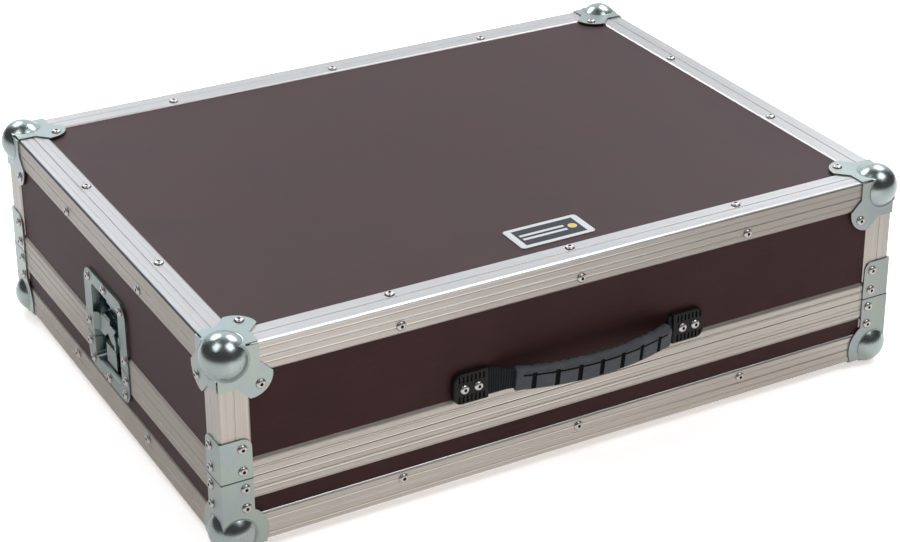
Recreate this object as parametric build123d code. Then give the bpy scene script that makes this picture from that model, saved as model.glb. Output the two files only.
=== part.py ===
import os
from math import asin, cos, degrees, pi, radians, sin, sqrt, tan

from build123d import *

# A flat flight case for a mixing desk: plywood panels in an aluminium frame, a shallow
# tray below and a deep lift-off lid above, held together by a butterfly latch on each
# short side and carried by a strap handle on the front. Millimetres throughout.

# Carcass
case_width = 724  # over the aluminium, along the front
case_depth = 540
case_height = 200
tray_height = 69  # from the underside of the frame to the parting line
panel_thickness = 7
parting_gap = 0.3
overshoot = 1  # how far a cut runs past the face that it opens

# Edge angles
angle_flange = 30
sheet_gauge = 1.5  # wall of every aluminium extrusion
angle_bend = 2.5
groove_width = 1.2  # one line drawn along each outer face
groove_depth = 0.4
edge_break = 0.5
angle_lip = 2  # height of the bevel along each flange, beside the panel

# Closing profiles, the tongue and groove pair at the parting line
lid_flange = 18.8
tray_flange = 22.7
inner_flange = 13.5
profile_lip = 3.3
panel_slot_clearance = 0.1
tongue_width = 3
tongue_height = 5
tongue_clearance = 0.8

# Ball corners and corner braces, pressed steel
ball_radius = 22
ball_inset = 13  # ball centre behind each face of the frame
corner_gauge = 1.5
wing_collar = 40  # reach of the wings beside the ball, along each edge
collar_height = 21
lobe_reach = 31  # centre of each wing's lobe, from both edges
lobe_radius = 21
lobe_half_width = 15.5
corner_rivet_inset = 40
slit_width = 1.2
slit_start = 27.5
tray_collar = 29
brace_width = 29.2
tray_brace_rivet_inset = 21.5
lid_brace_rivet_inset = 20
tray_brace_rivets = (40, 59.5)  # heights above the foot of the frame
lid_brace_height = 40.5
lid_brace_rivets = (9, 31)  # heights above the parting line
lid_brace_round = 9
angle_end_clearance = 1

# Rivets, their domed heads drawn with six flats
rivet_radius = 4.8
rivet_height = 2.4
rivet_slope = 42  # degrees, lean of the flats from upright
rivet_side_count = 6
rivet_pitch = 186
rivet_edge = 21.5

# Latches
plate_width = 108
plate_above = 72  # above the parting line
plate_below = 35
plate_round = 16
plate_gauge = 1.2
mouth_width = 69
mouth_above = 59
mouth_below = 22.5
mouth_round = 5
dish_depth = 12
dish_draft = 3  # how far each wall leans in on its way down
latch_gap = 0.25  # half the joint between dish and keeper
cut_out_clearance = 1
plate_rivets_above = ((-42, 63), (0, 66.5), (42, 63), (-47, 13), (47, 13))
plate_rivets_below = ((-47, -9), (47, -9), (-42, -26), (42, -26), (0, -29))

# Latch mechanism, heights measured from the parting line
cam_height = 28
cam_width = 25
cam_drop = 9  # cam plate below its centre
cam_gauge = 2
eccentric_lift = 0.5  # clear of the dish floor
eccentric_side_count = 16
eccentric_radius = 8
eccentric_throw = 3
spindle_radius = 3
running_clearance = 0.05
sliding_clearance = 0.3
hook_gauge = 1.8
hook_toe = 3  # how far the foot turns in past the sheet
hook_width = 26
hook_window_margin = 4
window_clearance = 1  # above and below the eccentric
wing_hook_gap = 0.5
hook_tail = 20
hook_tail_top = 48
hook_foot = 17  # below the parting line
hook_step_height = 3  # top of the raised part, above the parting line
hook_lean = 2.4  # how far the hook draws in as it draws up
hook_bite = 2
strike_clearance = 0.3
strike_gauge = 1.8
guide_width = 32
guide_foot = 4.5
guide_low = 44.5
guide_high = 53.8
wing_gauge = 1.6
wing_sink = 0.3  # wing face below the face of the frame
wing_half_span = 31
wing_waist = 9
wing_top = 3.5  # above the cam centre, beside the neck
wing_bottom = 15.5  # below it, at the tips
wing_dip = 7  # how far the notch between the tips comes up
wing_round = 7
wing_curl_start = 22
wing_curl_end = 27
wing_curl_rise = 3.9
pin_radius = 1.2
pin_height = 7  # hinge line above the cam centre
knuckle_radius = 2.2
pin_end = 0.5  # pin past each ear
knuckle_length = 17
ear_gauge = 2
ear_half_height = 2.2

# Strap handle
handle_height = 30.4  # strap centre above the parting line
end_plate_length = 36
end_plate_height = 31
end_plate_thickness = 7
end_plate_round = 9
end_plate_bevel = 1
end_plate_inner = 100.3  # inner edge of each end plate from the middle
plate_seat_clearance = 0.2  # over the closing profile that the plate steps down from
plate_slot_count = 7
plate_slot_pitch = 4.2
plate_slot_width = 1.9
plate_slot_length = 6.5
plate_slot_depth = 1.6
plate_slot_offset = 10.2
handle_rivet_spread = 14.5
strap_width = 28
strap_gauge = 2.5
rolled_width = 22  # the strap inside the grip, its edges folded in
rolled_gauge = 4
strap_hold = 30  # length of strap clamped in each end plate
strap_clearance = 0.3
grip_shift = 5  # the grip sits a little to the right on its strap
grip_chord = 166
grip_bulge = 12.5
grip_stand_off = 13  # grip ends in front of the frame face
grip_lift = 2
grip_droop = 8  # degrees
grip_height = 25
grip_thickness = 13
grip_chord_count = 8  # straight lengths that make up its curve
grip_seam_chord_count = 6
grip_bevel = 4
grip_rib_count = 7
grip_rib_pitch = 22.4
grip_groove_width = 2.6
grip_groove_depth = 2
grip_seam_height = 6.5  # above the middle of the grip

# Lining and label plate
base_foam = 12
side_foam = 12
lid_foam_thickness = 15
foam_clearance = 0.5
foam_below_parting = 3
label_length = 80
label_width = 40
label_gauge = 0.8
label_round = 4
label_shift = 1.5
label_from_front = 61

# Worked out from the sizes above
panel_face = sheet_gauge  # outer face of a panel behind the frame's outer face
panel_back = panel_face + panel_thickness
slot_back = panel_back + panel_slot_clearance
profile_depth = slot_back + sheet_gauge
lid_web_low = parting_gap + tongue_height + tongue_clearance
lid_web_high = lid_web_low + sheet_gauge
ball_stand = ball_radius - ball_inset
rim_at_panel = ball_inset + sqrt(ball_radius**2 - (ball_inset - panel_face) ** 2)
angle_setback = rim_at_panel + angle_end_clearance
cut_out_half = mouth_width / 2 + plate_gauge + cut_out_clearance
cut_out_low = tray_height - mouth_below - plate_gauge - cut_out_clearance
cut_out_high = tray_height + mouth_above + plate_gauge + cut_out_clearance
strap_centre = end_plate_thickness / 2 - panel_face
handle_level = tray_height + handle_height
droop = radians(grip_droop)
grip_radius = ((grip_chord / 2) ** 2 + grip_bulge**2) / (2 * grip_bulge)
grip_half_angle = degrees(asin(grip_chord / 2 / grip_radius))
grip_reach = (
    grip_stand_off
    + (grip_bulge + grip_thickness / 2) * cos(droop)
    + (grip_height / 2 - grip_bevel) * sin(droop)
)
centre_shift = (grip_reach - ball_stand) / 2  # case centre behind the centre of the whole

# Turn about Z, length and reach of each side; turn and corner point of each corner
sides = {
    "front": (0, case_width, case_depth / 2),
    "right": (90, case_depth, case_width / 2),
    "back": (180, case_width, case_depth / 2),
    "left": (270, case_depth, case_width / 2),
}
corners = {
    "front_left": (0, -case_width / 2, -case_depth / 2),
    "front_right": (90, case_width / 2, -case_depth / 2),
    "back_right": (180, case_width / 2, case_depth / 2),
    "back_left": (270, -case_width / 2, case_depth / 2),
}
section_plane = Plane(origin=(0, 0, 0), x_dir=(0, 1, 0), z_dir=(1, 0, 0))
face_plane = Plane(origin=(0, 0, 0), x_dir=(1, 0, 0), z_dir=(0, -1, 0))


def on_side(shape, side):
    """Takes a shape drawn with x along the side, y inward and z up to its side."""
    turn, _, reach = sides[side]
    return Rot(0, 0, turn) * Pos(0, -reach, 0) * shape


def at_corner(shape, corner):
    """Takes a shape drawn inward from the origin along +x and +y to its corner."""
    turn, x, y = corners[corner]
    return Pos(x, y, 0) * Rot(0, 0, turn) * shape


def block(x0, x1, y0, y1, z0, z1):
    return Pos((x0 + x1) / 2, (y0 + y1) / 2, (z0 + z1) / 2) * Box(x1 - x0, y1 - y0, z1 - z0)


def outline(*points):
    return make_face(Polyline(*points, close=True))


def groove(at, along_x):
    """The line cut into an outer face, at its distance along the leg."""
    if along_x:
        return Pos(at, groove_depth / 2) * Rectangle(groove_width, groove_depth)
    return Pos(groove_depth / 2, at) * Rectangle(groove_depth, groove_width)


# Frame


def angle_section():
    legs = Pos(angle_flange / 2, sheet_gauge / 2) * Rectangle(angle_flange, sheet_gauge)
    legs += Pos(sheet_gauge / 2, angle_flange / 2) * Rectangle(sheet_gauge, angle_flange)
    legs = fillet(legs.vertices().sort_by(lambda v: v.X + v.Y)[0], angle_bend)
    flange, gauge, start = angle_flange, sheet_gauge, angle_flange - angle_lip
    legs -= outline((start, 0), (flange, 0), (flange, gauge))
    legs -= outline((0, start), (0, flange), (gauge, flange))
    return legs - groove(flange / 2, True) - groove(flange / 2, False)


def edge_angle(side, top):
    length = sides[side][1] - 2 * angle_setback
    plane = Plane(
        origin=(0, 0, case_height if top else 0),
        x_dir=(0, 1, 0),
        z_dir=(-1, 0, 0) if top else (1, 0, 0),
    )
    return on_side(extrude(plane * angle_section(), length / 2, both=True), side)


def corner_angle(corner, low, high):
    return at_corner(Pos(0, 0, low) * extrude(angle_section(), high - low), corner)


def lid_profile_section():
    lip = (profile_depth - tongue_width) / 2 - tongue_clearance
    top = lid_web_low + inner_flange - sheet_gauge
    shape = outline(
        (0, parting_gap),
        (lip, parting_gap),
        (lip, lid_web_low),
        (profile_depth - lip, lid_web_low),
        (profile_depth - lip, parting_gap),
        (profile_depth, parting_gap),
        (profile_depth, top),
        (slot_back, top),
        (slot_back, lid_web_high),
        (panel_face, lid_web_high),
        (panel_face, lid_flange),
        (0, lid_flange - profile_lip),
    )
    return shape - groove(lid_flange / 2, False)


def tray_profile_section():
    tongue_start = (profile_depth - tongue_width) / 2
    tongue_end = tongue_start + tongue_width
    shape = outline(
        (0, -tray_flange + profile_lip),
        (panel_face, -tray_flange),
        (panel_face, -sheet_gauge),
        (slot_back, -sheet_gauge),
        (slot_back, -inner_flange),
        (profile_depth, -inner_flange),
        (profile_depth, 0),
        (tongue_end, 0),
        (tongue_end - edge_break, tongue_height),
        (tongue_start + edge_break, tongue_height),
        (tongue_start, 0),
        (0, 0),
    )
    return shape - groove(-tray_flange / 2, False)


def closing_profile(side, section):
    """One length of closing profile, mitred into its neighbours and notched for a latch."""
    _, length, _ = sides[side]
    bar = extrude(section_plane * section, length / 2, both=True)
    half, back = length / 2, profile_depth + overshoot
    plan = outline((-half, 0), (half, 0), (half - back, back), (-half + back, back))
    bar &= Pos(0, 0, -tray_height) * extrude(plan, 2 * tray_height)
    if side in ("left", "right"):
        bar -= block(-cut_out_half, cut_out_half, -overshoot, back, -tray_height, tray_height)
    return on_side(Pos(0, 0, tray_height) * bar, side)


# Panels


def flat_panel(low):
    face = panel_face
    return block(
        -case_width / 2 + face,
        case_width / 2 - face,
        -case_depth / 2 + face,
        case_depth / 2 - face,
        low,
        low + panel_thickness,
    )


def side_panel(side, low, high, cut_low, cut_high):
    """The long panels run through; the short ones stand between them, cut for a latch."""
    _, length, _ = sides[side]
    short = side in ("left", "right")
    half = length / 2 - (panel_back if short else panel_face)
    board = block(-half, half, panel_face, panel_back, low, high)
    if short:
        board -= block(-cut_out_half, cut_out_half, 0, profile_depth, cut_low, cut_high)
    return on_side(board, side)


# Pressed steel corners


def lobed_wing():
    """Outline of one wing: a collar beside the ball and a lobe along the diagonal."""
    shape = quadrant(wing_collar, collar_height) + quadrant(collar_height, wing_collar)
    band = Pos(lobe_reach / 2, lobe_reach / 2) * Rot(0, 0, 45) * Rectangle(
        lobe_reach * sqrt(2) + 2 * lobe_radius, 2 * lobe_half_width
    )
    lobe = (Pos(lobe_reach, lobe_reach) * Circle(lobe_radius)) & band
    return shape + lobe + quadrant(lobe_reach, lobe_reach)


def braced_wing():
    """Outline of a tray corner's upright wing, which rises to the parting line."""
    collar = Pos(ball_inset, ball_inset) * Circle(tray_collar)
    return (collar + quadrant(brace_width, tray_height)) & quadrant(tray_height, tray_height)


def quadrant(width, height):
    return Pos((width - corner_gauge) / 2, (height - corner_gauge) / 2) * Rectangle(
        width + corner_gauge, height + corner_gauge
    )


def wings(flat, upright):
    """Three plates on the outer faces of a corner whose edges run along +x, +y and +z."""
    on_floor = Plane(origin=(0, 0, 0), x_dir=(1, 0, 0), z_dir=(0, 0, 1))
    on_front = Plane(origin=(0, 0, 0), x_dir=(1, 0, 0), z_dir=(0, -1, 0))
    plates = extrude(on_floor * flat, -corner_gauge)
    front = extrude(on_front * upright, corner_gauge)
    return plates + front + mirror(front, about=Plane(origin=(0, 0, 0), z_dir=(1, -1, 0)))


def ball_corner(upright, slits):
    """A ball pressed out of three wings, seated on the frame's outer faces."""
    low, wide, far = -2 * corner_gauge, slit_width / 2, 3 * lobe_reach
    covered = ball_inset / 2
    shell = wings(lobed_wing(), upright) - block(low, covered, low, covered, low, covered)
    shell += Pos(ball_inset, ball_inset, ball_inset) * Sphere(ball_radius)
    shell -= block(0, far, 0, far, 0, far)
    for axis in slits:
        cut = [low, wide, low, wide, low, wide]
        cut[2 * axis : 2 * axis + 2] = [slit_start, far]
        shell -= block(*cut)
    return shell


def lid_brace():
    """A bent plate over the corner angle and the closing profile."""
    legs = quadrant(brace_width, brace_width) - Pos(brace_width, brace_width) * Rectangle(
        2 * brace_width, 2 * brace_width
    )
    legs = chamfer(legs.vertices().sort_by(lambda v: v.X + v.Y)[0], corner_gauge / 2)
    bent = extrude(legs, lid_brace_height)
    tips = bent.edges().filter_by(Axis.Y).group_by(Axis.Z)[-1].sort_by(Axis.X)[-1:]
    tips += bent.edges().filter_by(Axis.X).group_by(Axis.Z)[-1].sort_by(Axis.Y)[-1:]
    return Pos(0, 0, tray_height + parting_gap) * fillet(tips, lid_brace_round)


# Rivets


def rivet():
    """A head standing on the plane z = 0."""
    return extrude(RegularPolygon(rivet_radius, rivet_side_count), rivet_height, taper=rivet_slope)


def facing(x, y, z, outward):
    """A place on a surface, with its outward direction as local z."""
    return Plane(origin=(x, y, z), z_dir=outward).location


def rivet_row(side):
    """Positions along a side, an even pitch about its middle."""
    long = side in ("front", "back")
    return (-rivet_pitch, 0, rivet_pitch) if long else (-rivet_pitch / 2, rivet_pitch / 2)


def edge_rivets(top):
    """Heads along both flanges of the top or the bottom angles."""
    heads = []
    level = case_height - rivet_edge if top else rivet_edge
    face = case_height if top else 0
    for side in sides:
        for x in rivet_row(side):
            heads.append(on_side(facing(x, 0, level, (0, -1, 0)) * rivet(), side))
            heads.append(on_side(facing(x, rivet_edge, face, (0, 0, 1 if top else -1)) * rivet(), side))
    return heads


def wing_rivets(level, inset, faces):
    """Heads on a corner's plates, at one height and one distance from the upright edge."""
    spots = {"front": (inset, -corner_gauge, (0, -1, 0)), "side": (-corner_gauge, inset, (-1, 0, 0))}
    heads = []
    for corner in corners:
        for face in faces:
            x, y, outward = spots[face]
            heads.append(at_corner(facing(x, y, level, outward) * rivet(), corner))
    return heads


def flat_wing_rivets(face, up):
    spot = facing(corner_rivet_inset, corner_rivet_inset, face, (0, 0, up))
    return [at_corner(spot * rivet(), corner) for corner in corners]


def plate_rivets(spots):
    heads = []
    for side in ("left", "right"):
        for x, z in spots:
            place = facing(x, -plate_gauge, tray_height + z, (0, -1, 0))
            heads.append(on_side(place * rivet(), side))
    return heads


def handle_rivets():
    heads = []
    middle = end_plate_inner + end_plate_length / 2
    for x in (-middle, middle):
        for step in (-handle_rivet_spread / 2, handle_rivet_spread / 2):
            place = facing(x + step, panel_face - end_plate_thickness, handle_level, (0, -1, 0))
            heads.append(on_side(place * rivet(), "front"))
    return heads


# Latch, drawn with x along the side, y inward from the frame's face, z from the parting line


def rounded_on_face(width, low, high, radius, depth):
    """A rounded rectangle on a plane parallel to the frame's face."""
    shape = Pos(0, (low + high) / 2) * RectangleRounded(width, high - low, radius)
    return Pos(0, depth, 0) * (face_plane * shape)


def recess(grow, depth):
    """The tapered hollow of the dish, or its outside when grown by the sheet's gauge."""
    mouth = rounded_on_face(
        mouth_width + 2 * grow, -mouth_below - grow, mouth_above + grow, mouth_round + grow, -plate_gauge
    )
    lean = dish_draft - grow
    bottom = rounded_on_face(
        mouth_width - 2 * lean, -mouth_below + lean, mouth_above - lean, mouth_round + grow, depth
    )
    return loft([mouth, bottom], ruled=True)


def latch_pan():
    """Plate and pressed hollow in one sheet, before it is parted into dish and keeper."""
    sheet = rounded_on_face(plate_width, -plate_below, plate_above, plate_round, 0)
    seat = extrude(sheet, -panel_face) - block(
        -plate_width,
        plate_width,
        -overshoot,
        panel_face + overshoot,
        -tray_flange - cut_out_clearance,
        lid_flange + cut_out_clearance,
    )
    return extrude(sheet, plate_gauge) + seat + recess(plate_gauge, dish_depth + plate_gauge) - recess(
        0, dish_depth
    )


def latch_dish():
    far = 2 * plate_width
    return latch_pan() & block(-far, far, -far, far, latch_gap, far)


def latch_keeper():
    """The tray's half, with the strike that the hook draws up against."""
    far = 2 * plate_width
    pan = latch_pan() & block(-far, far, -far, far, -far, -latch_gap)
    tip = hook_tip_engaged() - hook_bite
    top = hook_foot_engaged() + strike_clearance
    back = dish_depth + plate_gauge / 2
    return pan + block(-hook_width / 2, hook_width / 2, tip, back, top, top + strike_gauge)


def hook_faces():
    """Front faces of the hook's deep part and raised part, released, from the frame's face."""
    deep = dish_depth - sliding_clearance - hook_gauge - hook_lean
    raised = wing_sink + wing_gauge + wing_hook_gap
    return deep, raised


def hook_tip_engaged():
    """Inner end of the hook's foot once drawn in."""
    _, raised = hook_faces()
    return raised + hook_gauge + hook_toe + hook_lean


def hook_foot_engaged():
    """Upper face of the hook's foot once drawn up."""
    return -hook_foot + hook_gauge + 2 * eccentric_throw


def latch_hook():
    """A cranked plate: tail and window behind the cam, raised part, and a turned-in foot."""
    deep, raised = hook_faces()
    tip = raised + hook_gauge + hook_toe
    low, high = hook_step_height, hook_step_height + deep - raised
    back = hook_gauge * tan(pi / 8)  # the bend's inner corners
    profile = outline(
        (deep + hook_gauge, hook_tail_top),
        (deep, hook_tail_top),
        (deep, high),
        (raised, low),
        (raised, -hook_foot),
        (tip, -hook_foot),
        (tip, -hook_foot + hook_gauge),
        (raised + hook_gauge, -hook_foot + hook_gauge),
        (raised + hook_gauge, low - back),
        (deep + hook_gauge, high - back),
    )
    half = eccentric_radius + eccentric_throw + hook_window_margin
    plate = extrude(section_plane * profile, half, both=True)
    centre = cam_height - eccentric_throw
    window_half = eccentric_radius + eccentric_throw + sliding_clearance
    window_rise = eccentric_radius + window_clearance
    plate -= block(
        -window_half, window_half, 0, dish_depth, centre - window_rise, centre + window_rise
    )
    shoulder = centre + window_rise + hook_window_margin
    past, low = half + overshoot, -hook_foot - overshoot
    for x0, x1 in ((hook_tail / 2, past), (-past, -hook_tail / 2)):
        plate -= block(x0, x1, 0, dish_depth, shoulder, hook_tail_top + overshoot)
    for x0, x1 in ((hook_width / 2, past), (-past, -hook_width / 2)):
        plate -= block(x0, x1, 0, dish_depth, low, high)
    return plate


def along_depth(radius, x, z, near, far):
    """A round bar standing inward from depth near to depth far."""
    return Pos(x, (near + far) / 2, z) * Rot(90, 0, 0) * Cylinder(radius, far - near)


def cam_front():
    deep, _ = hook_faces()
    return deep - sliding_clearance - cam_gauge


def latch_cam():
    """A plate with two ears for the wing's pin and, behind it, the eccentric."""
    front, hinge, axis = cam_front(), cam_height + pin_height, pin_depth()
    back, half = front + cam_gauge, cam_width / 2
    low, high = cam_height - cam_drop, hinge + ear_half_height
    cam = block(-half, half, front, back, low, high)
    throw = Pos(0, back, cam_height - eccentric_throw) * (
        face_plane * RegularPolygon(eccentric_radius, eccentric_side_count)
    )
    cam += extrude(throw, back - dish_depth + eccentric_lift)
    near = knuckle_length / 2 + sliding_clearance
    for x in (near, -near - ear_gauge):
        cam += block(
            x, x + ear_gauge, axis - ear_half_height, front, hinge - ear_half_height, high
        )
    cam -= pin_bar(pin_radius + running_clearance, cam_width)
    return cam - along_depth(spindle_radius + running_clearance, 0, cam_height, 0, dish_depth)


def pin_depth():
    return wing_sink + wing_gauge / 2


def pin_bar(radius, length):
    """A round bar on the hinge line of the wing."""
    return Pos(0, pin_depth(), cam_height + pin_height) * Rot(0, 90, 0) * Cylinder(radius, length)


def latch_pin():
    return pin_bar(pin_radius, knuckle_length + 2 * (sliding_clearance + ear_gauge + pin_end))


def latch_spindle():
    """The stud that the cam turns on, standing on the floor of the dish."""
    return along_depth(spindle_radius, 0, cam_height, cam_front() + sliding_clearance, dish_depth)


def latch_guide():
    """A bridge over the hook's tail, folded down to two feet on the floor of the dish."""
    deep, _ = hook_faces()
    under = deep - sliding_clearance
    half = guide_width / 2
    profile = outline(
        (-half - guide_foot, dish_depth),
        (-half - guide_foot, dish_depth - plate_gauge),
        (-half, dish_depth - plate_gauge),
        (-half + plate_gauge, under - plate_gauge),
        (half - plate_gauge, under - plate_gauge),
        (half, dish_depth - plate_gauge),
        (half + guide_foot, dish_depth - plate_gauge),
        (half + guide_foot, dish_depth),
        (half - plate_gauge, dish_depth),
        (half - 2 * plate_gauge, under),
        (-half + 2 * plate_gauge, under),
        (-half + plate_gauge, dish_depth),
    )
    return Pos(0, 0, guide_low) * extrude(profile, guide_high - guide_low)


def wing_plan():
    """Butterfly outline about the cam centre, with a neck up to the hinge."""
    half, low = wing_half_span, -wing_bottom
    right = [(0, low + wing_dip), (wing_waist, low), (half, low), (half, wing_top), (0, wing_top)]
    body = outline(*right, *[(-x, z) for x, z in reversed(right[1:4])])
    body = fillet(body.vertices().group_by(Axis.X)[0] + body.vertices().group_by(Axis.X)[-1], wing_round)
    return body + Pos(0, pin_height / 2) * Rectangle(knuckle_length, pin_height)


def latch_wing():
    """The folding butterfly: flat over the cam, its two tips curled out past the plate."""
    face, gauge, rise = wing_sink, wing_gauge, wing_curl_rise
    a, b, c = wing_curl_start, wing_curl_end, wing_half_span + overshoot
    upper = [(-c, face - rise), (-b, face - rise), (-a, face), (a, face), (b, face - rise), (c, face - rise)]
    lower = [(x, y + gauge) for x, y in reversed(upper)]
    sheet = extrude(outline(*upper, *lower), plate_above)
    plan = extrude(face_plane * wing_plan(), plate_width / 2, both=True)
    wing = sheet & (Pos(0, 0, cam_height) * plan)
    wing += pin_bar(knuckle_radius, knuckle_length)
    return wing - pin_bar(pin_radius + running_clearance, plate_width)


# Handle


def end_plate(hand):
    """Moulded end plate with two rows of slots, stepped over the closing profile at its back."""
    length, height = end_plate_length, end_plate_height
    back, front = panel_face, panel_face - end_plate_thickness
    shape = Rectangle(length, height)
    outer = shape.vertices().group_by(Axis.X)[-1]
    shape = fillet(outer, end_plate_round)
    body = extrude(Pos(0, back, 0) * (face_plane * shape), end_plate_thickness)
    rim = body.faces().sort_by(Axis.Y)[0].edges()
    body = chamfer(rim, end_plate_bevel)
    first = -plate_slot_pitch * (plate_slot_count - 1) / 2
    for row in (-plate_slot_offset, plate_slot_offset):
        for i in range(plate_slot_count):
            x = first + i * plate_slot_pitch
            body -= Pos(x, front + plate_slot_depth / 2, row) * Box(
                plate_slot_width, plate_slot_depth, plate_slot_length
            )
    mouth = strap_gauge / 2 + strap_clearance
    half = strap_width / 2 + strap_clearance
    deep = strap_hold + strap_clearance - length / 2
    body -= block(-length, deep, -strap_centre - mouth, -strap_centre + mouth, -half, half)
    seat = lid_flange + plate_seat_clearance - handle_height
    body -= block(-length, length, 0, back, -height, seat)
    body = Pos(end_plate_inner + length / 2, 0, handle_level) * body
    return on_side(body if hand == "right" else mirror(body, about=Plane.YZ), "front")


def grip_frame():
    """Local frame of the grip: x along its chord, y outward along its bulge."""
    return Plane(
        origin=(grip_shift, -grip_stand_off, handle_level + grip_lift),
        x_dir=(1, 0, 0),
        z_dir=(0, sin(droop), -cos(droop)),
    )


def on_grip_arc(shape, turn):
    """Turns a shape drawn at the middle of the grip's arc along that arc, in degrees."""
    centre = grip_bulge - grip_radius
    return Pos(0, centre, 0) * Rot(0, 0, turn) * Pos(0, -centre, 0) * shape


def bent(section, chord_count):
    """Runs a section, drawn outward and across, through chords of the grip's arc."""
    middle = section_plane * (Pos(grip_bulge, 0) * section)
    step = 2 * grip_half_angle / grip_chord_count
    turns = [(i - chord_count / 2) * step for i in range(chord_count + 1)]
    return loft([on_grip_arc(middle, turn) for turn in turns], ruled=True)


def handle_grip():
    """A moulded sleeve with bevelled edges, cross grooves below a long seam, and a channel."""
    section = Rectangle(grip_thickness, grip_height)
    body = bent(chamfer(section.vertices(), grip_bevel), grip_chord_count)
    channel = Rectangle(rolled_gauge + 2 * strap_clearance, rolled_width + 2 * strap_clearance)
    body -= bent(channel, grip_chord_count + 2)
    outer = grip_bulge + grip_thickness / 2
    low = -grip_seam_height
    for i in range(grip_rib_count):
        turn = degrees((i - (grip_rib_count - 1) / 2) * grip_rib_pitch / grip_radius)
        cut = block(
            -grip_groove_width / 2,
            grip_groove_width / 2,
            outer - grip_groove_depth,
            outer + overshoot,
            low,
            grip_height / 2 + overshoot,
        )
        body -= on_grip_arc(cut, turn)
    seam = Pos(grip_thickness / 2, low) * Rectangle(grip_groove_depth, grip_groove_width)
    body -= bent(seam, grip_seam_chord_count)
    return on_side(grip_frame().location * body, "front")


def handle_strap():
    """Webbing from end plate to end plate, through the grip's channel."""
    frame = grip_frame()
    core = frame.location * bent(Rectangle(rolled_gauge, rolled_width), grip_chord_count)
    strap = core
    for hand in (-1, 1):
        end = core.faces().sort_by(Axis.X)[-1 if hand > 0 else 0]
        inner = end_plate_inner * hand
        mouth = Plane(origin=(inner, -strap_centre, handle_level), x_dir=(0, 1, 0), z_dir=(hand, 0, 0))
        held = mouth * Rectangle(strap_gauge, strap_width)
        strap += loft([end, held], ruled=True)
        strap += extrude(held, strap_hold)
    return on_side(strap, "front")


# Lining and label


def tray_foam():
    """Four strips along the walls, notched behind the keepers, and a sheet between them."""
    outer = profile_depth + foam_clearance
    inner = outer + side_foam
    in_x, in_y = case_width / 2 - inner, case_depth / 2 - inner
    sheets = [block(-in_x, in_x, -in_y, in_y, panel_back, panel_back + base_foam)]
    for side, (_, length, _) in sides.items():
        short = side in ("left", "right")
        half = length / 2 - (inner if short else outer)
        strip = block(-half, half, outer, inner, panel_back, tray_height - foam_below_parting)
        if short:
            behind = dish_depth + plate_gauge + foam_clearance
            strip -= block(-cut_out_half, cut_out_half, 0, behind, cut_out_low, tray_height)
        sheets.append(on_side(strip, side))
    return sheets


def lid_foam():
    in_x = case_width / 2 - panel_back - foam_clearance
    in_y = case_depth / 2 - panel_back - foam_clearance
    top = case_height - panel_back
    return block(-in_x, in_x, -in_y, in_y, top - lid_foam_thickness, top)


def label_plate():
    plan = RectangleRounded(label_length, label_width, label_round)
    spot = Pos(label_shift, label_from_front - case_depth / 2, case_height - panel_face)
    return spot * extrude(plan, label_gauge)


# Nodes


def tray_nodes():
    top = tray_height - sheet_gauge
    nodes = {"tray_base_panel": flat_panel(panel_face)}
    for side in sides:
        nodes[f"tray_{side}_panel"] = side_panel(side, panel_back, top, cut_out_low, top)
        nodes[f"tray_bottom_angle_{side}"] = edge_angle(side, False)
        nodes[f"tray_closing_profile_{side}"] = closing_profile(side, tray_profile_section())
    nodes["tray_corner_angles"] = [
        corner_angle(corner, angle_setback, tray_height - tray_flange) for corner in corners
    ]
    piece = ball_corner(braced_wing(), (0, 1))
    nodes["tray_ball_corners"] = [at_corner(piece, corner) for corner in corners]
    heads = edge_rivets(False) + flat_wing_rivets(-corner_gauge, -1)
    for level in tray_brace_rivets:
        heads += wing_rivets(level, tray_brace_rivet_inset, ("front", "side"))
    nodes["tray_rivets"] = heads + plate_rivets(plate_rivets_below)
    nodes["tray_foam"] = tray_foam()
    return nodes


def lid_nodes():
    low = tray_height + lid_web_high
    flange = tray_height + lid_flange
    nodes = {"lid_top_panel": flat_panel(case_height - panel_back)}
    for side in sides:
        nodes[f"lid_{side}_panel"] = side_panel(side, low, case_height - panel_back, low, cut_out_high)
        nodes[f"lid_top_angle_{side}"] = edge_angle(side, True)
        nodes[f"lid_closing_profile_{side}"] = closing_profile(side, lid_profile_section())
    for corner in corners:
        nodes[f"lid_corner_angle_{corner}"] = corner_angle(
            corner, flange, case_height - angle_setback
        )
    piece = Pos(0, 0, case_height) * mirror(ball_corner(lobed_wing(), (0, 1, 2)), about=Plane.XY)
    nodes["lid_ball_corners"] = [at_corner(piece, corner) for corner in corners]
    nodes["lid_corner_braces"] = [at_corner(lid_brace(), corner) for corner in corners]
    heads = edge_rivets(True) + flat_wing_rivets(case_height + corner_gauge, 1)
    for level in lid_brace_rivets:
        heads += wing_rivets(tray_height + level, lid_brace_rivet_inset, ("front", "side"))
    heads += wing_rivets(case_height - corner_rivet_inset, corner_rivet_inset, ("front", "side"))
    nodes["lid_rivets"] = heads + plate_rivets(plate_rivets_above) + handle_rivets()
    nodes["lid_foam"] = lid_foam()
    nodes["label_plate"] = label_plate()
    return nodes


def latch_nodes():
    """Sheet parts that stay still share a node; each moving part has one of its own."""
    up = Pos(0, 0, tray_height)
    still = {"keepers": latch_keeper(), "dishes": latch_dish()}
    still |= {"guides": latch_guide(), "spindles": latch_spindle()}
    moving = {"cam": latch_cam(), "pin": latch_pin(), "wing": latch_wing(), "hook": latch_hook()}
    pair = ("left", "right")
    nodes = {f"latch_{name}": [on_side(up * piece, side) for side in pair] for name, piece in still.items()}
    for name, piece in moving.items():
        for side in pair:
            nodes[f"latch_{name}_{side}"] = on_side(up * piece, side)
    return nodes


def handle_nodes():
    return {
        "handle_plates": [end_plate("left"), end_plate("right")],
        "handle_strap": handle_strap(),
        "handle_grip": handle_grip(),
    }


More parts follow.
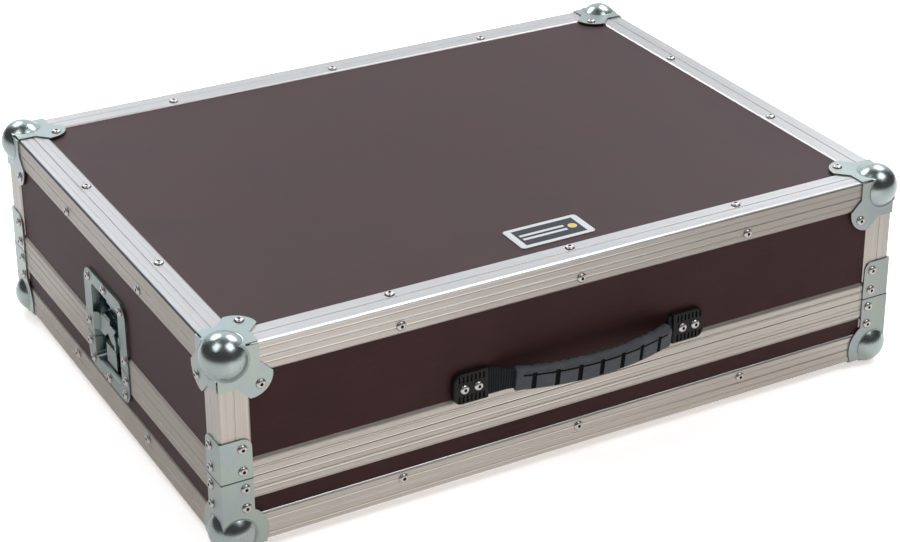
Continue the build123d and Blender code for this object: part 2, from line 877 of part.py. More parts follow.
def write(nodes):
    """Sets the case's centre back so that the origin is under the middle of the whole."""
    os.makedirs("parts", exist_ok=True)
    shift = Pos(0, centre_shift, ball_stand)
    for name, shape in nodes.items():
        solids = shape if isinstance(shape, list) else [shape]
        moved = [shift * solid for solid in solids]
        export_step(moved[0] if len(moved) == 1 else Compound(children=moved), f"parts/{name}.step")
    print(len(nodes), "nodes; centre shift", round(centre_shift, 3), "stand", ball_stand)
    print("hook travel per radian", round(sqrt(hook_lean**2 + 4 * eccentric_throw**2) / pi, 6))


write(tray_nodes() | lid_nodes() | latch_nodes() | handle_nodes())
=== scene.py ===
import math

import bmesh
import bpy
from mathutils import Matrix, Vector, noise


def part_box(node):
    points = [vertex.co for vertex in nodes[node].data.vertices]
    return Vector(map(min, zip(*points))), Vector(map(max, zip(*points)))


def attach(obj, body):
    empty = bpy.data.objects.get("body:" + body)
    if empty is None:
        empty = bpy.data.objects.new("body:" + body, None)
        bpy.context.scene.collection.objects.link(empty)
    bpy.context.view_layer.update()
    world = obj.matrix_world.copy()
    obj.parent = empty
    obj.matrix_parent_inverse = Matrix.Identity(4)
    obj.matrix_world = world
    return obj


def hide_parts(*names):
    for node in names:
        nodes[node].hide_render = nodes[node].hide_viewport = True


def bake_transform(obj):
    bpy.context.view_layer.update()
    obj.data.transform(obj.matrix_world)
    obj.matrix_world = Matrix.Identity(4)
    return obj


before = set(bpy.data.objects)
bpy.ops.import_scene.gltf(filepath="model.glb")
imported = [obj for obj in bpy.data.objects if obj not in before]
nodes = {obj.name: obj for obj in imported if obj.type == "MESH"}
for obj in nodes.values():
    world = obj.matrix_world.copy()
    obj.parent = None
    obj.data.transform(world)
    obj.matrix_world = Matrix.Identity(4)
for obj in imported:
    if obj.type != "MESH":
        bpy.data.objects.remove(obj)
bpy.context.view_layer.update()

mm = 0.001
sideNames = ("front", "right", "back", "left")
cornerNames = ("front_left", "front_right", "back_right", "back_left")
handNames = ("left", "right")

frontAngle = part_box("lid_top_angle_front")
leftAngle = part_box("lid_top_angle_left")
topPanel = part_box("lid_top_panel")
profileWeb = 1.5 * mm  # of the closing profile, between the panel and the parting line
case = {  # faces of the aluminium frame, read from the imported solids
    "halfWidth": -leftAngle[0].x,
    "front": frontAngle[0].y,
    "top": frontAngle[1].z,
    "foot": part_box("tray_bottom_angle_front")[0].z,
    "parting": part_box("tray_left_panel")[1].z + profileWeb,
    "middle": (topPanel[0].y + topPanel[1].y) / 2,
}
case["halfDepth"] = case["middle"] - case["front"]
middleFoot = Vector((0, case["middle"], case["foot"]))


class Wire:
    # one socket of a node, so that maths on it reads as a plain expression
    def __init__(self, finish, socket):
        self.finish = finish
        self.socket = socket

    def maths(self, kind, *others):
        return self.finish.node("ShaderNodeMath", {"operation": kind}, dict(enumerate(others)))

    def __add__(self, other):
        return self.maths("ADD", self, other)

    def __sub__(self, other):
        return self.maths("SUBTRACT", self, other)

    def __rsub__(self, other):
        return self.maths("SUBTRACT", other, self)

    def __mul__(self, other):
        return self.maths("MULTIPLY", self, other)

    def __truediv__(self, other):
        return self.maths("DIVIDE", self, other)

    def __pow__(self, other):
        return self.maths("POWER", self, other)

    def __abs__(self):
        return self.maths("ABSOLUTE", self)

    __radd__ = __add__
    __rmul__ = __mul__

    def fraction(self):
        return self.maths("FRACT", self)

    def most(self, other):
        return self.maths("MAXIMUM", self, other)

    def least(self, other):
        return self.maths("MINIMUM", self, other)

    def step(self, low, high):
        # 0 under low, 1 over high, smooth between
        return self.finish.node(
            "ShaderNodeMapRange",
            {"interpolation_type": "SMOOTHSTEP"},
            {0: self, 1: low, 2: high, 3: 0.0, 4: 1.0},
        )


class Finish:
    # the node tree of one material or world, with the few nodes that they share
    def __init__(self, name, store=bpy.data.materials, space="Object"):
        self.made = store.new(name)
        self.made.use_nodes = True
        self.tree = self.made.node_tree
        self.tree.nodes.clear()
        self.point = self.node("ShaderNodeTexCoord", {}, {}, space)

    def node(self, kind, settings, values, result=0):
        # settings first, then a value or a link for each socket
        made = self.tree.nodes.new(kind)
        for key, value in settings.items():
            setattr(made, key, value)
        for key, value in values.items():
            socket = made.inputs[key]
            if isinstance(value, Wire):
                self.tree.links.new(value.socket, socket)
            elif socket.type == "RGBA" and len(value) == 3:
                socket.default_value = (*value, 1)
            else:
                socket.default_value = value
        return Wire(self, made.outputs[result]) if len(made.outputs) else None

    def along(self, axis):
        return self.node("ShaderNodeSeparateXYZ", {}, {0: self.point}, axis)

    def facing(self, axis):
        # how squarely the surface looks along an axis, 0 to 1
        normal = self.node("ShaderNodeNewGeometry", {}, {}, "True Normal")
        return abs(self.node("ShaderNodeSeparateXYZ", {}, {0: normal}, axis))

    def stretched(self, x, y, z):
        return self.node(
            "ShaderNodeVectorMath", {"operation": "MULTIPLY"}, {0: self.point, 1: (x, y, z)}
        )

    def grain(self, point, scale, detail=3.0, rough=0.5):
        return self.node(
            "ShaderNodeTexNoise",
            {},
            {"Vector": point, "Scale": scale, "Detail": detail, "Roughness": rough},
        )

    def tint(self, share, first, second):
        # share of the second colour over the first
        return self.node(
            "ShaderNodeMix", {"data_type": "RGBA"}, {0: share, 6: first, 7: second}, 2
        )

    def surface(self, values, height=None, depth=0.3 * mm):
        if height is not None:
            values["Normal"] = self.node(
                "ShaderNodeBump", {}, {"Height": height, "Distance": depth}
            )
        shader = self.node("ShaderNodeBsdfPrincipled", {}, values)
        self.node("ShaderNodeOutputMaterial", {}, {"Surface": shader})
        return self.made


def lines(distance, pitch, half):
    # 1 on thin lines at each whole pitch of a distance, 0 between them
    off = abs((distance / pitch + 0.5).fraction() - 0.5) * pitch
    return 1 - off.step(half * 0.3, half)


print("finishes")

ply = {  # film-faced plywood, smooth with a faint fibrous figure
    "dark": (0.036, 0.0135, 0.0128),
    "light": (0.055, 0.0225, 0.021),
    "fibre": (40, 700, 700),
    "relief": 0.04 * mm,
    "roughness": 0.44,
    "shine": 0.17,
    "sideShine": 0.10,  # the side boards are less glossy, and their colour is lifted to make up for it: painted light, a lighter copy of the top's plywood
    "sidePaintedLift": 1.27,
}


def plyFinish(name, shine, share=1.0):
    f = Finish(name)
    cloud = f.grain(f.point, 14.0, 5.0, 0.6)
    fibre = f.grain(f.stretched(*ply["fibre"]), 1.0, 3.0, 0.6)
    speck = f.grain(f.point, 900.0, 2.0, 0.5)
    tone = cloud.step(0.3, 0.7) * 0.45 + fibre.step(0.35, 0.7) * 0.25 + speck * 0.3
    # share lifts the colour of the side boards: painted light
    dark, light = ([c * share for c in ply[key]] for key in ("dark", "light"))
    return f.surface(
        {
            "Base Color": f.tint(tone, dark, light),
            "Roughness": ply["roughness"] + cloud * 0.10 + speck * 0.06,
            "Specular IOR Level": shine,
        },
        fibre * 0.35 + speck * 0.65,
        ply["relief"],
    )


drawn = {  # extruded aluminium, satin, with the lines of the die; highlight and shade are painted on its lines, arrises and faces
    "pale": (0.49, 0.442, 0.393),
    "deep": (0.31, 0.273, 0.236),
    "lit": (0.86, 0.85, 0.82),  # painted highlight, on the lip of a line and on the front arris
    "arrisShade": (0.10, 0.105, 0.12),  # painted shade on the arris of the short sides
    "upFacingLight": (0.41, 0.405, 0.415),  # painted light: faces that look up are tinted a cooler grey
    "sideFacingShade": (0.29, 0.245, 0.203),  # painted shade: faces that look left and right, darker and warmer
    "roughness": 0.33,
    "linePitch": 7.5 * mm,
    "lineHalf": 0.6 * mm,
    # painted shade in the lines of the die, as a share of the tone
    "lineShade": 0.18,
    "lineDepth": 0.22 * mm,
    "uprightLines": 0.3,  # the uprights are nearly plain in front
    "lipAway": 1.0 * mm,
    "groove": (15 * mm, 1.4 * mm),  # pitch and half width of the modelled groove
    "linesFrom": (3.5 * mm, 4.5 * mm),  # no line on the arris
    "linesTo": (26 * mm, 27 * mm),  # or at the edge by the panel
    "arris": (1.8 * mm, 2.7 * mm),
    "squeeze": 0.004,  # draws the streaks out along the bar
    "litEnds": (-0.04, 0.20),  # the painted highlights of lips and arris are brightest to the left of the handle
    "upperFrontShade": 0.65,  # painted shade: the upper front bar is darker from the handle on
    "frontBar": (-0.26, -0.20),
    "upperBar": (0.10, 0.16),
    "handleOn": (-0.30, 0.05),
    "rightEndShade": 0.12,
    # painted shade: the bars darken towards the right end
    "toRight": (0.05, 0.35),
    "sides": 0.55,  # painted shade: the bars of the short sides are darker
}


def barMarks(f, axis, closing, facing, height):
    # masks on a bar that runs along an axis: the lines of the die, with a bump and painted shade,
    # and their lips and the arris, with painted highlight on the bars along the front and painted
    # shade on the arris of the bars along the sides
    if closing:
        rise = height - case["parting"]
        across = (rise, rise)
    else:
        fromSide = case["halfWidth"] - abs(f.along(0))
        fromFront = case["halfDepth"] - abs(f.along(1) - case["middle"])
        nearEnd = (case["top"] - height).least(height - case["foot"])
        across = ((nearEnd, fromFront), (nearEnd, fromSide), (fromFront, fromSide))[axis]
    upright = 1 - facing
    pitch, half = drawn["linePitch"], drawn["lineHalf"]
    share = drawn["uprightLines"] if axis == 2 else 1.0
    cut = lines(across[0], pitch, half) * upright + lines(across[1], pitch, half) * facing * share
    away = -drawn["lipAway"] if closing else drawn["lipAway"]
    lip = lines(across[0] + away, pitch, half) * upright
    if closing:
        return cut, lip, 0.0
    leg = across[0] * upright + across[1] * facing
    within = leg.step(*drawn["linesFrom"]) * (1 - leg.step(*drawn["linesTo"]))
    groove = lines(across[0], *drawn["groove"]) * within * upright
    arris = 1 - (across[0] + across[1]).step(*drawn["arris"])
    return cut * within, (lip * within).most(groove), arris


def drawnFinish(name, axis, closing=False):
    f = Finish(name)
    height = f.along(2)
    facing = f.facing(2 if axis < 2 else 1)
    cut, lip, arris = barMarks(f, axis, closing, facing, height)
    squeeze = [1.0, 1.0, 1.0]
    squeeze[axis] = drawn["squeeze"]
    streak = f.grain(f.stretched(*squeeze), 2600.0, 3.0, 0.7)
    band = f.grain(f.stretched(*squeeze), 420.0, 2.0, 0.5)
    handled = f.grain(f.point, 22.0, 4.0, 0.6)
    # the lines of the die are painted darker, as shade
    tone = streak.step(0.3, 0.75) * 0.6 + band * 0.4 + cut * drawn["lineShade"]
    # painted shade on the bars of the short sides
    tone = tone + drawn["sides"] * (axis == 1)
    # painted shade towards the right end
    tone = tone + f.along(0).step(*drawn["toRight"]) * drawn["rightEndShade"]
    # painted shade on the upper front bar, from the handle on
    if axis == 0 and not closing:
        upperFrontShade = (1 - f.along(1).step(*drawn["frontBar"])) * height.step(*drawn["upperBar"])
        tone = tone + upperFrontShade * f.along(0).step(*drawn["handleOn"]) * drawn["upperFrontShade"]
    full = 1.3  # the tone at which the bar is all deep
    colour = f.tint(tone.least(full) / full, drawn["pale"], drawn["deep"])
    if axis < 2 and not closing:
        # painted light: the faces that look up take a cooler grey
        colour = f.tint(facing * 0.5, colour, drawn["upFacingLight"])
    if axis == 0:
        # painted highlights on the lips of the lines and on the front arris
        bright = 1 - f.along(0).step(*drawn["litEnds"])
        colour = f.tint((lip * 0.55 + arris * 0.9) * bright, colour, drawn["lit"])
    elif axis == 1:
        # painted shade on the faces of the short sides that look left and right
        colour = f.tint((1 - facing) * 0.55, colour, drawn["sideFacingShade"])
        # painted shade darkens the arris of the short sides
        colour = f.tint(arris * 0.85, colour, drawn["arrisShade"])
    return f.surface(
        {
            "Base Color": colour,
            "Metallic": 1.0,
            "Roughness": drawn["roughness"] + streak * 0.10 + handled * 0.08,
        },
        (1 - cut) + streak * 0.10,
        drawn["lineDepth"],
    )


zinc = {  # passivated steel sheet, pale green with a bluish and a straw cast
    "green": (0.315, 0.348, 0.30),
    "blue": (0.298, 0.335, 0.335),
    "straw": (0.355, 0.35, 0.285),
    "olive": (0.13, 0.157, 0.138),  # the latches are duller
    "recessShade": (0.13, 0.215, 0.245),  # painted shade: darker and bluer deeper in the recess
    "sunk": (1.5 * mm, 9 * mm),
    "brown": (0.15, 0.13, 0.095),  # darker and browner towards the right corners
    "toRight": (0.28, 0.37),
    "partingShade": (0.03, 0.034, 0.034),
    "seam": (0.5 * mm, 1.0 * mm),  # half of the painted shade line at the parting
    "relief": 0.2 * mm,
    "roughness": 0.27,
}
ball = {  # pressed bright, with a rounded rim to its satin wings, and painted shade in a ring on the rim
    "radius": 22 * mm,
    "inset": 13 * mm,
    "tone": (0.36, 0.395, 0.375),
    "bright": (0.1 * mm, 1.2 * mm),
    "rim": 0.7 * mm,
    "rimHalf": (0.2 * mm, 1.1 * mm),
    "rimShade": (0.12, 0.17, 0.17),
    "fillet": (0.2 * mm, 2.6 * mm),
}


def beyondBall(f):
    # distance out from the nearest ball's surface
    side = abs(f.along(0)) - (case["halfWidth"] - ball["inset"])
    front = abs(f.along(1) - case["middle"]) - (case["halfDepth"] - ball["inset"])
    upper = f.along(2) - (case["top"] - ball["inset"])
    lower = case["foot"] + ball["inset"] - f.along(2)
    flat = side * side + front * front
    near = ((flat + upper * upper) ** 0.5).least((flat + lower * lower) ** 0.5)
    return near - ball["radius"]


def zincFinish(name, domes=False, recess=False):
    f = Finish(name)
    drift = f.grain(f.point, 38.0, 4.0, 0.65)
    second = f.grain(f.stretched(1.3, 0.8, 1.1), 61.0, 3.0, 0.6)
    crystal = f.grain(f.point, 1500.0, 2.0, 0.5)
    scratch = f.grain(f.stretched(60, 900, 2200), 1.0, 2.0, 0.6)
    colour = f.tint(drift.step(0.35, 0.65), zinc["green"], zinc["blue"])
    colour = f.tint(second.step(0.55, 0.8) * 0.6, colour, zinc["straw"])
    if not recess:
        colour = f.tint(f.along(0).step(*zinc["toRight"]) * 0.3, colour, zinc["brown"])
    rough = zinc["roughness"] + drift * 0.12 + crystal * 0.05
    height = crystal * 0.05 + scratch * 0.05
    # painted shade along the parting line between lid and tray
    seam = 1 - abs(f.along(2) - case["parting"]).step(*zinc["seam"])
    colour = f.tint(seam * 0.8, colour, zinc["partingShade"])
    if recess:
        colour = f.tint(0.6 + crystal * 0.2, colour, zinc["olive"])
        # painted shade, darker and bluer deeper into the recess
        deep = (case["halfWidth"] - abs(f.along(0))).step(*zinc["sunk"])
        colour = f.tint(deep * (0.5 + drift * 0.5), colour, zinc["recessShade"])
        rough = rough * (1 - deep * 0.4)
    if domes:
        far = beyondBall(f)
        bright = 1 - far.step(*ball["bright"])
        colour = f.tint(bright * 0.8, colour, ball["tone"])
        # painted shade in a ring on the rounded rim round each ball
        rim = 1 - abs(far - ball["rim"]).step(*ball["rimHalf"])
        colour = f.tint(rim * 0.55, colour, ball["rimShade"])
        rough = rough * (1 - bright * 0.25)
        height = height + (1 - far.step(*ball["fillet"])) * (1 - bright) * 2
    return f.surface(
        {"Base Color": colour, "Metallic": 1.0, "Roughness": rough}, height, zinc["relief"]
    )


def rivetFinish():
    bright, worn = (0.54, 0.495, 0.465), (0.40, 0.36, 0.335)
    f = Finish("rivetSteel")
    spot = f.grain(f.point, 900.0, 3.0, 0.6)
    return f.surface(
        {
            "Base Color": f.tint(spot, bright, worn),
            "Metallic": 1.0,
            "Roughness": 0.25 + spot * 0.12,
        },
        spot,
        0.03 * mm,
    )


def boreShadeFinish():
    # the shallow bore is painted near black: painted shade of a deep hole
    black, dusty = (0.02, 0.018, 0.016), (0.05, 0.045, 0.04)
    f = Finish("rivetBoreShade")
    spot = f.grain(f.point, 700.0, 2.0, 0.5)
    return f.surface({"Base Color": f.tint(spot, black, dusty), "Roughness": 0.7})


def mouldedFinish():
    # black moulded plastic with an even spark-eroded texture
    black, faded = (0.0066, 0.0052, 0.0038), (0.0135, 0.011, 0.0085)
    f = Finish("mouldedPlastic")
    spark = f.grain(f.point, 1300.0, 3.0, 0.6)
    cloud = f.grain(f.point, 60.0, 3.0, 0.5)
    return f.surface(
        {
            "Base Color": f.tint(cloud, black, faded),
            "Roughness": 0.44 + spark * 0.14,
            "Specular IOR Level": 0.2,
        },
        spark,
        0.08 * mm,
    )


rubber = {  # of the grip; its grooves are matt, and near black as painted shade
    "skin": ((0.052, 0.053, 0.056), (0.098, 0.100, 0.105)),
    "groove": ((0.003, 0.003, 0.0033), (0.010, 0.010, 0.011)),
    "skinShine": 0.35,
    "grooveShine": 0.1,
    "relief": 0.1 * mm,
}


def rubberFinish(name, part):
    f = Finish(name)
    spark = f.grain(f.point, 1600.0, 3.0, 0.6)
    rubbed = f.grain(f.stretched(1, 1, 2), 55.0, 4.0, 0.6)
    dust = rubbed.step(0.4, 0.75)
    return f.surface(
        {
            "Base Color": f.tint(dust * 0.6 + spark * 0.3, *rubber[part]),
            "Roughness": 0.58 + dust * 0.12,
            "Specular IOR Level": rubber[part + "Shine"],
        },
        spark * 0.7 + rubbed * 0.3,
        rubber["relief"],
    )


strap = {
    "halfWide": (13.7 * mm, 10.7 * mm),  # at the end plate, in the grip
    "halfThick": (1.05 * mm, 1.8 * mm),
    "mouth": 100.3 * mm,
    "level": Vector((0, -272.0, 99.4)) * mm + middleFoot,
    "hidden": 9 * mm,
    "slack": 0.9,
    "rolls": (0.1, 0.95),  # the part of its way over which its edges fold in
    "steps": 120,
    "across": 22,
    "rib": 0.2 * mm,
    "ribPitch": 1.9 * mm,
    "pickPitch": 1.5 * mm,
    "black": (0.003, 0.003, 0.0033),
    "yarn": (0.05, 0.05, 0.054),
    "relief": 0.3 * mm,
}


def webbingFinish():
    f = Finish("blackWebbing")
    yarn = f.grain(f.stretched(300, 300, 1200), 1.0, 2.0, 0.6)
    cloud = f.grain(f.point, 120.0, 3.0, 0.5)
    rows = lines(f.along(0), strap["ribPitch"], strap["ribPitch"] * 0.42)
    picks = lines(f.along(2) + rows * 0.4 * mm, strap["pickPitch"], strap["pickPitch"] * 0.4)
    dark = rows.most(picks * 0.6)
    tone = (1 - dark) * (0.6 + yarn * 0.5) + cloud * 0.1
    return f.surface(
        {
            "Base Color": f.tint(tone, strap["black"], strap["yarn"]),
            "Roughness": 0.80 + cloud * 0.1,
            "Specular IOR Level": 0.25,
        },
        (1 - dark) + yarn * 0.4,
        strap["relief"],
    )


def foamFinish():
    # the hollows of the cells are painted darker: painted shade in the pores
    hollow, wall = (0.018, 0.018, 0.02), (0.06, 0.06, 0.064)
    f = Finish("charcoalFoam")
    cell = f.node(
        "ShaderNodeTexVoronoi", {"feature": "F1"}, {"Vector": f.point, "Scale": 650.0}, 0
    )
    cloud = f.grain(f.point, 18.0, 4.0, 0.6)
    tone = cell.step(0.1, 0.6) * 0.7 + cloud * 0.3
    return f.surface({"Base Color": f.tint(tone, hollow, wall), "Roughness": 0.93}, cell, 0.6 * mm)


label = {  # brushed plate printed with a plain block, two empty fields and a ringed dot
    "plate": ((0.57, 0.56, 0.54), (0.46, 0.455, 0.44)),
    "ink": (0.016, 0.016, 0.018),
    "yellow": (0.66, 0.40, 0.015),
    "margin": (4.6 * mm, 5.0 * mm),  # each pair: where the print's edge starts and ends
    "endMargin": (6.8 * mm, 7.2 * mm),
    "fieldAway": 3.6 * mm,  # from the middle line
    "fieldHalf": (1.7 * mm, 2.0 * mm),
    "fieldEnd": (10 * mm, 10.4 * mm),
    "fieldToDot": (22 * mm, 22.4 * mm),
    "dotFrom": 14.5 * mm,  # from the right end
    "ring": (4.3 * mm, 4.6 * mm),
    "dot": (3.4 * mm, 3.7 * mm),
    "relief": 0.05 * mm,
}


def labelFinish():
    f = Finish("blankLabel")
    low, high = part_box("label_plate")
    middle, half = (low + high) / 2, (high - low) / 2
    across = f.along(1) - middle.y
    fromEnd = half.x - abs(f.along(0) - middle.x)
    fromRight = middle.x + half.x - f.along(0)
    block = (half.y - abs(across)).step(*label["margin"]) * fromEnd.step(*label["endMargin"])
    field = 1 - abs(abs(across) - label["fieldAway"]).step(*label["fieldHalf"])
    field = field * fromEnd.step(*label["fieldEnd"]) * fromRight.step(*label["fieldToDot"])
    away = ((fromRight - label["dotFrom"]) ** 2.0 + across**2.0) ** 0.5
    ring, dot = 1 - away.step(*label["ring"]), 1 - away.step(*label["dot"])
    ink = block * (1 - field.most(ring))
    streak = f.grain(f.stretched(20, 2200, 1), 1.0, 3.0, 0.6)
    colour = f.tint(ink, f.tint(streak, *label["plate"]), label["ink"])
    return f.surface(
        {
            "Base Color": f.tint(dot, colour, label["yellow"]),
            "Metallic": 0.25,
            "Specular IOR Level": 0.3,
            "Roughness": 0.45 + streak * 0.15,
        },
        streak * 0.3 + ink * -0.7,
        label["relief"],
    )


finishes = {
    "ply": plyFinish("filmFacedPly", ply["shine"]),
    "sidePly": plyFinish("sidePly", ply["sideShine"], ply["sidePaintedLift"]),
    "barX": drawnFinish("drawnAlongFront", 0),
    "barY": drawnFinish("drawnAlongSide", 1),
    "barZ": drawnFinish("drawnUpright", 2),
    "closeX": drawnFinish("closingAlongFront", 0, closing=True),
    "closeY": drawnFinish("closingAlongSide", 1, closing=True),
    "zinc": zincFinish("zincSheet"),
    "latch": zincFinish("zincLatch", recess=True),
    "corner": zincFinish("zincCorner", domes=True),
    "rivet": rivetFinish(),
    "bore": boreShadeFinish(),
    "moulded": mouldedFinish(),
    "rubber": rubberFinish("gripRubber", "skin"),
    "groove": rubberFinish("gripGrooveShade", "groove"),
    "webbing": webbingFinish(),
    "foam": foamFinish(),
    "label": labelFinish(),
}


print("frame, panels and hardware")

sideAxis = {"front": "X", "back": "X", "left": "Y", "right": "Y"}
kept = {  # nodes that are shown themselves, with their finish
    "lid_top_panel": "ply",
    "tray_base_panel": "ply",
    "tray_corner_angles": "barZ",
    "tray_ball_corners": "corner",
    "lid_ball_corners": "corner",
    "lid_corner_braces": "zinc",
    "label_plate": "label",
    "handle_plates": "moulded",
}
for side in sideNames:
    kept[f"lid_{side}_panel"] = kept[f"tray_{side}_panel"] = "sidePly"
    kept[f"lid_top_angle_{side}"] = kept[f"tray_bottom_angle_{side}"] = "bar" + sideAxis[side]
    kept[f"lid_closing_profile_{side}"] = "close" + sideAxis[side]
    kept[f"tray_closing_profile_{side}"] = "close" + sideAxis[side]
for corner in cornerNames:
    kept[f"lid_corner_angle_{corner}"] = "barZ"
for name in ("keepers", "dishes", "guides", "spindles"):
    kept[f"latch_{name}"] = "latch"
for hand in handNames:
    for name in ("cam", "pin", "wing", "hook"):
        kept[f"latch_{name}_{hand}"] = "latch"

rounding = {  # small rounded arrises, so that every edge catches a line of light
    "usual": 0.3 * mm,
    "slight": 0.25 * mm,
    "slightOn": ("ply", "sidePly", "closeX", "closeY"),
    "weld": 0.02 * mm,
    "segments": 2,
    "sharpest": math.radians(28),  # flatter edges, such as those of a dome, stay as they are
}


def soften(solid, width):
    weld = solid.modifiers.new("weld", "WELD")
    weld.merge_threshold = rounding["weld"]
    bevel = solid.modifiers.new("arris", "BEVEL")
    bevel.width = width
    bevel.segments = rounding["segments"]
    bevel.limit_method = "ANGLE"
    bevel.angle_limit = rounding["sharpest"]
    bevel.harden_normals = True
    weighted = solid.modifiers.new("normals", "WEIGHTED_NORMAL")
    weighted.keep_sharp = True


for name, finishName in kept.items():
    solid = nodes[name]
    solid.data.materials.clear()
    solid.data.materials.append(finishes[finishName])
    soften(solid, rounding["slight" if finishName in rounding["slightOn"] else "usual"])


def solids(name):
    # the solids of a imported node, each as a list of its points: one is closed, with no
    # loose edge left, before the next one starts
    mesh = nodes[name].data
    found, points, loose = [], [], set()
    for face in mesh.polygons:
        ring = [mesh.vertices[i].co.copy() for i in face.vertices]
        points += ring
        places = [tuple(round(c, 6) for c in point) for point in ring]
        for edge in zip(places, places[1:] + places[:1]):
            if edge[::-1] in loose:
                loose.remove(edge[::-1])
            else:
                loose.add(edge)
        if not loose:
            found.append(points)
            points = []
    return found


def corners(points):
    low = Vector([min(p[i] for p in points) for i in range(3)])
    high = Vector([max(p[i] for p in points) for i in range(3)])
    return low, high


def piece(name, points, faces, finishNames, smooth=True, marks=None):
    # a mesh of its own; marks say which finish each face has
    mesh = bpy.data.meshes.new(name)
    mesh.from_pydata([tuple(p) for p in points], [], faces)
    mesh.validate()
    for finishName in finishNames:
        mesh.materials.append(finishes[finishName])
    for i, face in enumerate(mesh.polygons):
        face.use_smooth = smooth
        if marks:
            face.material_index = marks[i]
    made = bpy.data.objects.new(name, mesh)
    bpy.context.scene.collection.objects.link(made)
    return made


def outward(made):
    # turns all faces of a closed mesh to look out
    work = bmesh.new()
    work.from_mesh(made.data)
    bmesh.ops.recalc_face_normals(work, faces=work.faces)
    work.to_mesh(made.data)
    work.free()
    return made


print("rivets")

rivet = {
    "radius": 4.75 * mm,
    "height": 2.35 * mm,
    "steps": 28,
    # share of the radius and of the height, from the rim up and down into the bore
    "rings": (
        (1.0, 0.0), (1.0, 0.14), (0.965, 0.32), (0.88, 0.56), (0.75, 0.78), (0.62, 0.90),
        (0.58, 0.905), (0.54, 0.93), (0.50, 0.97), (0.38, 1.0), (0.33, 0.96), (0.31, 0.60),
        (0.30, 0.30),
    ),
    "boreRings": 2,
    "level": 0.05 * mm,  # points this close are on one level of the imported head
}


def rivetMesh(spots):
    points, faces, marks = [], [], []
    rings, steps = rivet["rings"], rivet["steps"]
    last = len(rings) - 1
    for centre, out in spots:
        turn = out.to_track_quat("Z", "Y")
        start = len(points)
        for share, rise in rings:
            for i in range(steps):
                a = 2 * math.pi * i / steps
                r = share * rivet["radius"]
                local = Vector((r * math.cos(a), r * math.sin(a), rise * rivet["height"]))
                points.append(centre + turn @ local)
        for ring in range(last):
            for i in range(steps):
                j = (i + 1) % steps
                a, b = start + ring * steps, start + (ring + 1) * steps
                faces.append((a + i, a + j, b + j, b + i))
                marks.append(int(ring >= last - rivet["boreRings"]))
        faces.append([start + last * steps + i for i in range(steps)])
        marks.append(1)
        faces.append([start + i for i in reversed(range(steps))])
        marks.append(0)
    return points, faces, marks


def rivetSpots(node):
    # where each packed head stands and which way it looks
    spots = []
    for points in solids(node):
        low, high = corners(points)
        axis = min(range(3), key=lambda i: high[i] - low[i])
        rings = {
            level: [p for p in points if abs(p[axis] - level) < rivet["level"]]
            for level in (low[axis], high[axis])
        }
        spread = {}
        for level, ring in rings.items():
            ringLow, ringHigh = corners(ring)
            spread[level] = (ringHigh - ringLow).length
        foot = max(spread, key=spread.get)
        out = Vector((0, 0, 0))
        out[axis] = 1 if foot == low[axis] else -1
        unique = sorted({tuple(round(c, 6) for c in p) for p in rings[foot]})
        spots.append((sum((Vector(p) for p in unique), Vector()) / len(unique), out))
    return spots


for node, body in (("tray_rivets", "tray"), ("lid_rivets", "lid")):
    points, faces, marks = rivetMesh(rivetSpots(node))
    name = node.replace("rivets", "rivetHeads")
    heads = piece(name, points, faces, ("rivet", "bore"), marks=marks)
    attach(heads, body)
    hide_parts(node)


print("handle")

grip = {  # the rubber sleeve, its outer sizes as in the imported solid
    "origin": Vector((5.0, -283.0, 101.4)) * mm + middleFoot,
    "droop": math.radians(8),
    "chord": 166 * mm,
    "bulge": 12.5 * mm,
    "halfThick": 6.5 * mm,
    "halfTall": 12.5 * mm,
    "round": 6.1 * mm,
    "endRound": 1.6 * mm,
    "skin": 0.35 * mm,  # the sleeve lies this far inside the solid, but for its swollen ends
    "swollen": (3 * mm, 9 * mm),
    "steps": 420,
    "around": 96,
    # the ends turn in to the mouth: share of the thickness and of the height, and depth
    "mouth": ((0.55, 0.9, 0.0), (0.30, 0.82, 0.8 * mm), (0.28, 0.80, 4 * mm)),
}
grip["arc"] = ((grip["chord"] / 2) ** 2 + grip["bulge"] ** 2) / (2 * grip["bulge"])
grip["halfAngle"] = math.asin(grip["chord"] / 2 / grip["arc"])
grooves = {  # moulded in the grip; each pair is where a side of a groove starts and ends
    "count": 7,
    "pitch": 22.4 * mm,
    "half": (1.785 * mm, 2.31 * mm),
    "depth": 2.6 * mm,
    "outFrom": (1.0 * mm, 4.0 * mm),
    "underFrom": (-6 * mm, -3 * mm),  # they reach further in on the underside
    "under": 3 * mm,
    "belowSeam": (-2.4 * mm, -1.2 * mm),
    "toUnderside": (3.2 * mm, 1.2 * mm),
    "seam": -6.5 * mm,
    "seamHalf": (0.4 * mm, 0.9 * mm),
    "seamOut": (4.0 * mm, 5.5 * mm),
    "seamEnd": (6 * mm, 5 * mm),
    "seamDepth": 1.5 * mm,
    "fingerPitch": 9.0 * mm,  # of the waves at the back
    "finger": (0.35, 0.9),
    "fingerBack": (1.5 * mm, 3.0 * mm),
    "fingerEnd": (70 * mm, 76 * mm),
    "fingerDepth": 1.2 * mm,
    "dark": 0.9 * mm,  # deeper than this, the groove's finish, with its painted shade, shows
}


def gripPoint(angle, out, down):
    # a point of the handle's bent frame: along its arc, outward, and down across it
    c, s = math.cos(grip["droop"]), math.sin(grip["droop"])
    reach = grip["arc"] + out
    x = reach * math.sin(angle)
    y = grip["bulge"] - grip["arc"] + reach * math.cos(angle)
    return grip["origin"] + Vector((x, -c * y + s * down, -s * y - c * down))


def smooth(low, high, value):
    t = max(0.0, min(1.0, (value - low) / (high - low)))
    return t * t * (3 - 2 * t)


